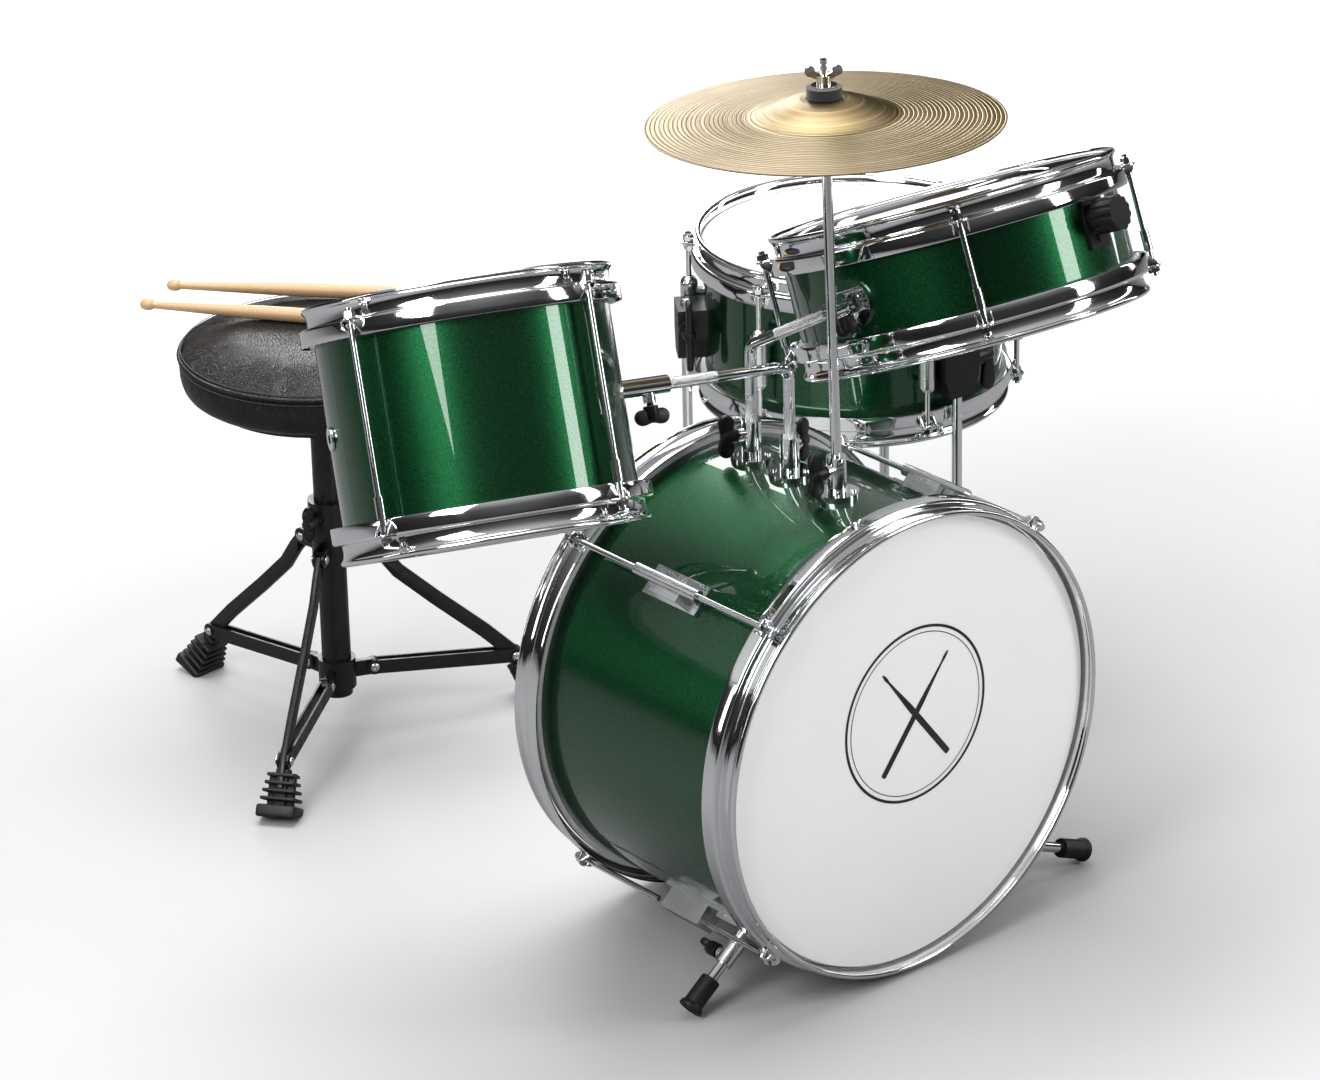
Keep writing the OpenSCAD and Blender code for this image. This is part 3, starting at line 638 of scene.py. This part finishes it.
wing_screw("deep_post_wing", post(KIT @ tr(0, 18, 421), 5, 20), 9, 12, "deep_post_screw")
wing_screw("shallow_post_wing", post(KIT @ tr(0, 68, 421), 5, 160), 9, 12, "shallow_post_screw")
wing_screw("cymbal_post_wing", post(CYM, 4.5, 180), 9.5, 12, "cymbal_post_screw")
MX = Matrix.Scale(-1, 4, (1, 0, 0))


def spur_axis(m, at, y, dip):
    return m @ tr(at[0], at[1], y) @ rz(-dip)


LEFT_SPUR = spur_axis(BASS @ MX, (144.8, -161.6), 74, 38)
RIGHT_SPUR = spur_axis(BASS, (144.8, -162.7), 94, 22.6)
SPUR_SCREW = ry(90) @ rx(90)
wing_screw("left_spur_wing", LEFT_SPUR @ tr(19, 0, -5.2) @ SPUR_SCREW, 7, 6, "left_spur_screw")
wing_screw("right_spur_wing", RIGHT_SPUR @ tr(23, 0, -5.2) @ SPUR_SCREW, 7, 6, "right_spur_screw")
wing_screw("deep_tom_wing", DEEP @ rz(180) @ tr(162, 0, -110.5) @ ry(90), 11, 9, "deep_tom_screw", 0.9)
wing_screw("shallow_tom_wing", SHALLOW_ARM @ ry(60.3) @ rz(-17.4) @ tr(5.4, 0, 107.7), 3.6, 5,
           "shallow_tom_screw", 0.875)
wing_screw("throne_wing", STOOL @ rz(200) @ tr(14.6, 0, 226), 11.5, 10, "throne_screw", 0.95)
BLOCKS = (265, 145, 37)


def at_block(i):
    return KIT @ tr(348, 321, 384) @ rz(BLOCKS[i])


for i in range(3):
    wing_screw("leg_wing_%d" % (i + 1), at_block(i) @ tr(159, 5.4, 6) @ rz(90), 21.5, 28,
               "leg_screw_%d" % (i + 1))


# ---------------------------------------------------------------- bent arms, spurs and floor legs
BEND_RADIUS = 13


def bent_arm(name, frame_, th, foot, reach, cad, knurls):
    """A post from z = foot up to the bend, and an arm th degrees off it; the body has the same name."""
    d = Vector((math.sin(math.radians(th)), 0, math.cos(math.radians(th))))
    low, end = (0, 0, foot), tuple(d * reach)
    pts = [low] + corner(low, (0, 0, 0), end, BEND_RADIUS, 14) + [end]
    v, f, uv = tube(pts, 5.0, 32)
    Part().add(v, f, None, uv).make(name, frame_, CHROME, name, "chrome_plate", (cad,))
    for k, (a, b, where) in enumerate(knurls):
        base = Vector((0, 0, -1)) if where == "post" else d
        v, f, uv = tube([tuple(base * x) for x in (a, a + 0.8, b - 0.8, b)], 5.22, 32)
        Part().add(v, f, None, uv).make(name + "_knurl_%d" % (k + 1), frame_, KNURL, name, "chrome_plate")


bent_arm("deep_arm", DEEP_ARM, 85.5, -161, 166, "deep_tom_arm", ((38, 98, "post"), (72, 117, "arm")))
bent_arm("shallow_arm", SHALLOW_ARM, 60.3, -166, 124, "shallow_tom_arm",
         ((45, 100, "post"), (32, 90, "arm")))


def spur(name, axis, reach, body, cad):
    v, f, uv = lathe([(0, 6), (3.8, 6), (4.8, 7), (4.8, reach - 31), (0, reach - 31)], 32)
    m = axis @ ry(90)
    Part().add(v, f).make(name, m, CHROME, body, "chrome_plate", (cad,))
    prof = [(0, 0), (7.4, 0), (8.6, 0.6), (9, 2), (9, 25.6), (9.4, 27.4), (10.7, 28.6), (11, 29.8),
            (11, 32.2), (10.4, 33), (7.5, 33), (7, 32.3), (0, 32.3)]
    v, f, uv = lathe(prof, 48)
    Part().add(v, f, tr(0, 0, reach - 33)).make(name + "_foot", m, RUBBER, body, "black_plastic", (cad,))


spur("left_spur_rod", LEFT_SPUR, 75.9, "left_spur", "left_spur")
spur("right_spur_rod", RIGHT_SPUR, 114.9, "right_spur", "right_spur")

for i in range(3):
    m = at_block(i) @ tr(159, 0, -384)
    leg = "floor_leg_%d" % (i + 1)
    v, f, uv = lathe([(0, 33), (4.8, 33), (4.8, 410.5), (3.6, 412), (0, 412)], 32)
    Part().add(v, f).make("floor_leg_rod_%d" % (i + 1), m, CHROME, leg, "chrome_plate", (leg,))
    prof = [(0, 0), (10.4, 0), (11, 0.8), (11, 6), (9, 10)]
    for g in (14, 19, 24):
        prof += [(9, g), (8.2, g + 0.7), (8.2, g + 1.9), (9, g + 2.6)]
    prof += [(9, 32), (8.2, 34), (4.9, 34.6), (0, 34.6)]
    v, f, uv = lathe(prof, 48)
    Part().add(v, f).make("floor_leg_foot_%d" % (i + 1), m, RUBBER, leg, "black_plastic", (leg,))


# ---------------------------------------------------------------- cymbal
CYMBAL_R, CYMBAL_RISE = 152.0, 21.0


def bow(r):
    """Height of the cymbal's top face: a shallow bow with a bell out to a radius of 66."""
    bell = max(0.0, math.cos(math.radians(90 * max(0, r - 15) / 51))) ** 1.4 if r < 66 else 0.0
    return CYMBAL_RISE * (0.32 * (1 - (r / CYMBAL_R) ** 2) + 0.68 * bell)


def cymbal_piece():
    rs = [6.6, 9, 12, 15] + [15 + 137 * i / 72 for i in range(1, 73)]
    top = [(r, bow(max(r, 15))) for r in rs]
    low = [(r, z - 1.3) for r, z in top[::-1]]
    low[0] = (151.6, low[0][1] + 0.2)
    prof = top + low
    v, f, uv = lathe(prof, 160, closed=True)
    rad = [(math.hypot(p[0], p[1]) / CYMBAL_R, abs(math.atan2(p[1], p[0])) / math.pi) for p in v]
    Part().add(v, f, None, rad).make("cymbal_disc", CYM @ tr(0, 0, 333), BRASS, "cymbal", "cymbal_brass",
                                     ("cymbal",), 60)


cymbal_piece()


# ---------------------------------------------------------------- drumsticks
def stick(name, x, y, a):
    """A stick from its tip at (x, y), pointing along a degrees."""
    prof = [(0, 0), (2.2, 0.3), (4.0, 1.5), (5.1, 3.8), (5.5, 6.8), (5.4, 9.6), (4.9, 11.6), (3.9, 12.9),
            (3.5, 13.8), (3.7, 20), (4.8, 56), (5.9, 92), (6.7, 120), (7, 150), (7, 398), (6.4, 402.5),
            (4.6, 404.6), (0, 405)]
    v, f, uv = lathe(prof, 40)
    uv = [(p[2] * 0.08, abs(math.atan2(p[1], p[0]) / 6.2832) * 0.16) for p in v]
    m = KIT @ tr(x, y, 419.3) @ rz(a) @ ry(90)
    Part().add(v, f, None, uv).make(name, m, WOOD, "sticks", "stick_wood", ("drumsticks",))


stick("drumstick_1", -127, 768, -48.8)
stick("drumstick_2", -174, 745, -54.3)


# ---------------------------------------------------------------- stool legs
def strap_leg(k, az):
    m = STOOL @ rz(az)
    body = "throne_leg_" + k
    path = [(36, 192), (50, 175), (64, 155), (100, 121), (147, 79), (177, 49), (191, 27)]
    half = 7.0
    left, rgt = [], []
    p = [Vector(q) for q in path]
    for i, q in enumerate(p):
        d = (p[min(i + 1, len(p) - 1)] - p[max(i - 1, 0)]).normalized()
        nrm = Vector((-d.y, d.x))
        left.append(tuple(q + nrm * half))
        rgt.append(tuple(q - nrm * half))
    d0 = (p[0] - p[1]).normalized()
    top = []
    for t in range(-75, 76, 15):
        c, s_ = math.cos(math.radians(t)), math.sin(math.radians(t))
        top.append(tuple(p[0] + Vector((d0.x * c - d0.y * s_, d0.x * s_ + d0.y * c)) * half))
    v, f = slab(left + rgt[::-1] + top, 6.0, 0.9)
    strap = Part().add([(q[0], q[2], q[1]) for q in v], f)
    strap.make("stool_leg_" + k, m, PAINT, body, "black_paint", (body,))
    foot = Part()
    lean = ry(-31)
    shapes = [rounded_box((13, 13, 44), 2, tr(0, 0, 19)), rounded_box((33, 38, 12), 2.5, tr(1, 0, 0))]
    for n_, z in enumerate((12, 19.5, 27, 34.5)):
        shapes.append(rounded_box((29 - n_ * 2.0, 34 - n_ * 2.5, 3.4), 1.3, tr(0, 0, z)))
    shapes.append(rounded_box((6, 26, 34), 1.5, tr(0, 0, 20)))
    for v, f in shapes:
        w_ = [tr(199.5, 0, 6) @ lean @ Vector(q) for q in v]
        foot.add([(q.x, q.y, max(q.z, 0.15)) for q in w_], f)
    foot.make("stool_foot_" + k, m, RUBBER, body, "black_plastic", (body,))


def rivet(r, h):
    prof = [(0, 0), (r, 0), (r, h * 0.35), (r * 0.8, h * 0.75), (r * 0.45, h), (r * 0.3, h * 0.8),
            (0, h * 0.75)]
    return lathe(prof, 24)[:2]


for k, az in zip("abc", (96.6, 216.6, 336.6)):
    strap_leg(k, az)
    m = STOOL @ rz(az)
    for x, z, out, body, nm in ((36, 192, 7.5, "slider", "upper"), (36, 59, 7.0, "stool", "lower"),
                                (177, 49, 8.0, "throne_brace_" + k, "outer")):
        part = Part()
        for s in (-1, 1):
            v, f = rivet(4.4, 2.0)
            part.add(v, f, tr(x, s * (out - 1.2), z) @ rx(-90 * s))
        part.make("rivets_%s_%s" % (nm, k), m, STEEL, body, "chrome_plate")


# ---------------------------------------------------------------- seat cushion
SEAT = STOOL @ tr(0, 0, 351)
WELT_Z = 43.0
VOXEL = 0.0048                   # metres
SWELL_LIMIT = 0.005              # metres
LAST_FRAME = 20


def cushion():
    prof = [(0, 3.5), (60, 3.0), (110, 2.5), (122, 4.5), (129.5, 11), (132.5, 22), (132.8, 33), (132, 41.5),
            (130.6, WELT_Z), (131, 44.5), (127.5, 49), (118, 52.5), (98, 54.8), (60, 56.3), (0, 57.0)]
    v, f, uv = lathe(prof, 96)
    ob = Part().add(v, f).make("seat_cushion_cover", SEAT, LEATHER, "seat", "black_leatherette",
                               ("seat_cushion",), 80)
    mod = ob.modifiers.new("remesh", "REMESH")
    mod.mode = "VOXEL"
    mod.voxel_size = VOXEL
    dep = bpy.context.evaluated_depsgraph_get()
    me = bpy.data.meshes.new_from_object(ob.evaluated_get(dep))
    ob.modifiers.remove(mod)
    ob.data = me
    start = [Vector(q.co) for q in me.vertices]
    low = (SEAT @ Vector((0, 0, 6))).z * MM
    waist = (SEAT @ Vector((0, 0, WELT_Z))).z * MM
    centre = (SEAT @ Vector((0, 0, 0))) * MM
    pins = ob.vertex_groups.new(name="pins")
    for i, q in enumerate(start):
        r = math.hypot(q.x - centre.x, q.y - centre.y)
        if q.z < low and r < 0.118:
            pins.add([i], 1.0, "ADD")
        elif abs(q.z - waist) < 0.0028 and r > 0.126:
            pins.add([i], 0.75, "ADD")
    cl = ob.modifiers.new("cloth", "CLOTH")
    st = cl.settings
    st.quality = 6
    st.mass = 0.3
    st.tension_stiffness = 18
    st.compression_stiffness = 18
    st.bending_stiffness = 0.6
    st.use_pressure = True
    st.uniform_pressure_force = 4.0
    st.effector_weights.gravity = 0.0
    st.vertex_group_mass = "pins"
    sc = bpy.context.scene
    sc.frame_start, sc.frame_end = 1, LAST_FRAME
    for fr in range(1, LAST_FRAME + 1):
        sc.frame_set(fr)
    dep = bpy.context.evaluated_depsgraph_get()
    out = bpy.data.meshes.new_from_object(ob.evaluated_get(dep))
    ob.modifiers.remove(cl)
    sc.frame_set(1)
    for i, q in enumerate(out.vertices):
        move = q.co - start[i]
        if move.length > SWELL_LIMIT:
            q.co = start[i] + move.normalized() * SWELL_LIMIT
    ob.data = out
    me = out
    for q in me.vertices:
        p = (SEAT.inverted() @ (q.co / MM))
        r, z = math.hypot(p.x, p.y), p.z
        a = math.atan2(p.y, p.x)
        if z > 45:
            w = min(1.0, (z - 45) / 8)
            sag = 0.22 * math.sin(a * 3 + 0.6) + 0.18 * math.sin(a * 5 + 2.0) + 0.12 * math.sin(a * 9 + 0.9)
            q.co.z += w * sag * max(0.0, r - 40) / 90 * MM
        if r > 118 and z < WELT_Z - 3:
            pucker = 0.25 * math.sin(a * 46) + 0.18 * math.sin(a * 83 + 1)
            fall = max(0.0, 1 - abs(z - WELT_Z + 7) / 12)
            q.co.x += math.cos(a) * pucker * fall * MM
            q.co.y += math.sin(a) * pucker * fall * MM
    me.materials.clear()
    me.materials.append(LEATHER)
    for p in me.polygons:
        p.use_smooth = True
    sub = ob.modifiers.new("smooth", "SUBSURF")
    sub.levels = sub.render_levels = 1
    return ob


seat = cushion()
inv = SEAT.inverted()
seat_shape = [inv @ (Vector(q.co) / MM) for q in seat.data.vertices]


def seam_path(z, lift, n=144):
    """Closed ring of points on the cushion's side at height z."""
    rr = []
    for k in range(n):
        a = 2 * math.pi * k / n
        c, s_ = math.cos(a), math.sin(a)
        best = 0.0
        for p in near[k * 12 // n]:
            if abs(p.z - z) < 3.2 and (p.x * c + p.y * s_) > best and abs(p.y * c - p.x * s_) < 8:
                best = p.x * c + p.y * s_
        rr.append(best or 132.0)
    rr = [(rr[i - 2] + rr[i - 1] + rr[i] + rr[(i + 1) % n] + rr[(i + 2) % n]) / 5 for i in range(n)]
    return [((r + lift) * math.cos(2 * math.pi * k / n), (r + lift) * math.sin(2 * math.pi * k / n), z)
            for k, r in enumerate(rr)]


near = [[] for _ in range(12)]
for p in seat_shape:
    if math.hypot(p.x, p.y) > 110 and abs(p.z - WELT_Z) < 14:
        k0 = int((math.atan2(p.y, p.x) % (2 * math.pi)) / (2 * math.pi) * 12) % 12
        for dk in (-1, 0, 1):
            near[(k0 + dk) % 12].append(p)


def ring_tube(path, r, seg=10):
    n = len(path)
    v, f, uv = [], [], []
    for i, q in enumerate(path):
        a = 2 * math.pi * i / n
        out = Vector((math.cos(a), math.sin(a), 0))
        for k in range(seg):
            t = 2 * math.pi * k / seg
            v.append(tuple(Vector(q) + out * math.cos(t) * r + Vector((0, 0, 1)) * math.sin(t) * r))
            uv.append((k / seg, i / n))
    for i in range(n):
        for k in range(seg):
            i2, k2 = (i + 1) % n, (k + 1) % seg
            f.append((i * seg + k, i2 * seg + k, i2 * seg + k2, i * seg + k2))
    return v, f, uv


welt = Part()
v, f, uv = ring_tube(seam_path(WELT_Z, 0.4), 2.1)
welt.add(v, f, None, uv).make("seat_welt", SEAT, LEATHER, "seat", "black_leatherette")
thread = Part()
for z in (WELT_Z + 4.6, WELT_Z - 4.6):
    path = seam_path(z, 0.15, 288)
    for i in range(0, 288):
        a_ = Vector(path[i])
        b_ = Vector(path[(i + 1) % 288])
        d_ = b_ - a_
        v, f, uv = tube([tuple(a_ + d_ * 0.12), tuple(a_ + d_ * 0.2 + a_.normalized() * 0.3),
                         tuple(a_ + d_ * 0.8 + a_.normalized() * 0.3), tuple(a_ + d_ * 0.88)], 0.38, 6)
        thread.add(v, f, None, uv)
THREAD = felt_material("stitch_thread", (0.03, 0.03, 0.03))
thread.make("seat_stitches", SEAT, THREAD, "seat", "black_leatherette")

# ---------------------------------------------------------------- floor and light
bpy.ops.mesh.primitive_plane_add(size=11, location=(0.0, 0.0, -0.0005))
ground = bpy.context.object
ground.name = "studio_floor"
g = Nodes("studio_floor")
# The floor's base colour is darker grey near the kit and lightens outwards, with a noisy edge: a painted
# shadow pool under the kit.
spread = g.new("ShaderNodeVectorMath", _operation="LENGTH")
g.link(g.coords("Object", (0.8, 1.0, 1.0)), spread.inputs[0])
painted_shadow_distance = g.math("ADD", spread.outputs["Value"], g.math("MULTIPLY", g.noise(g.coords(), 2.0, 2), 0.15))
g.to(g.ramp(g.range(painted_shadow_distance, 0.0, 1.0, 0.70, 1.75), [(0.0, (0.47, 0.47, 0.475)), (0.45, (0.64, 0.64, 0.645)),
                                                  (1.0, (0.95, 0.95, 0.95))]), "Base Color")
g.set(Roughness=0.75)
# Glossy rays see the floor as a flat dark grey instead: painted shade in what the chrome and shells
# reflect.
seen = g.new("ShaderNodeLightPath")
painted_reflection_shade = g.new("ShaderNodeBsdfDiffuse")
painted_reflection_shade.inputs["Color"].default_value = (0.22, 0.22, 0.225, 1)
pick = g.new("ShaderNodeMixShader")
g.link(seen.outputs["Is Glossy Ray"], pick.inputs[0])
g.link(g.b.outputs["BSDF"], pick.inputs[1])
g.link(painted_reflection_shade.outputs["BSDF"], pick.inputs[2])
g.link(pick.outputs["Shader"], g.t.nodes["Material Output"].inputs["Surface"])
ground.data.materials.append(g.m)


def area(name, loc, target, size, power, size_y=None):
    d = bpy.data.lights.new(name, "AREA")
    d.energy = power
    d.shape = "RECTANGLE"
    d.size = size
    d.size_y = size_y or size
    o = bpy.data.objects.new(name, d)
    bpy.context.collection.objects.link(o)
    o.location = loc
    o.rotation_euler = (Vector(target) - Vector(loc)).to_track_quat("-Z", "Y").to_euler()
    return o


area("key_box", (-2.6, -0.9, 2.3), (0, 0, 0.3), 1.3, 62, 1.6)
area("fill_box", (1.9, -2.7, 1.9), (0, 0, 0.4), 0.7, 44, 1.9)
area("top_box", (-0.1, 0.4, 3.0), (0, 0, 0.3), 2.4, 112, 2.0)
area("back_box", (1.6, 2.6, 1.7), (0, 0, 0.4), 0.9, 36, 1.6)
area("left_strip", (-2.3, 1.3, 1.3), (0, 0.1, 0.5), 0.16, 7, 1.7)
area("right_strip", (2.3, -0.5, 1.2), (0, 0, 0.5), 0.18, 7, 1.6)

world = bpy.data.worlds.new("studio")
bpy.context.scene.world = world
world.use_nodes = True
wt = world.node_tree
bg = wt.nodes["Background"]
tc = wt.nodes.new("ShaderNodeTexCoord")
sep = wt.nodes.new("ShaderNodeSeparateXYZ")
wr = wt.nodes.new("ShaderNodeValToRGB")
wt.links.new(tc.outputs["Generated"], sep.inputs["Vector"])
wt.links.new(sep.outputs["Z"], wr.inputs["Fac"])
wt.links.new(wr.outputs["Color"], bg.inputs["Color"])
pale = wt.nodes.new("ShaderNodeBackground")
pale.inputs["Color"].default_value = (0.93, 0.93, 0.935, 1)
path = wt.nodes.new("ShaderNodeLightPath")
mixw = wt.nodes.new("ShaderNodeMixShader")
wt.links.new(path.outputs["Is Camera Ray"], mixw.inputs["Fac"])
wt.links.new(bg.outputs["Background"], mixw.inputs[1])
wt.links.new(pale.outputs["Background"], mixw.inputs[2])
wt.links.new(mixw.outputs["Shader"], wt.nodes["World Output"].inputs["Surface"])
stops = [(0.0, 0.02), (0.10, 0.03), (0.30, 0.05), (0.50, 0.16), (0.72, 0.50), (1.0, 0.70)]
el = wr.color_ramp.elements
while len(el) < len(stops):
    el.new(0.5)
for e_, (pos, val) in zip(el, stops):
    e_.position = pos
    e_.color = (val, val, val * 1.01, 1)
bg.inputs["Strength"].default_value = 0.8
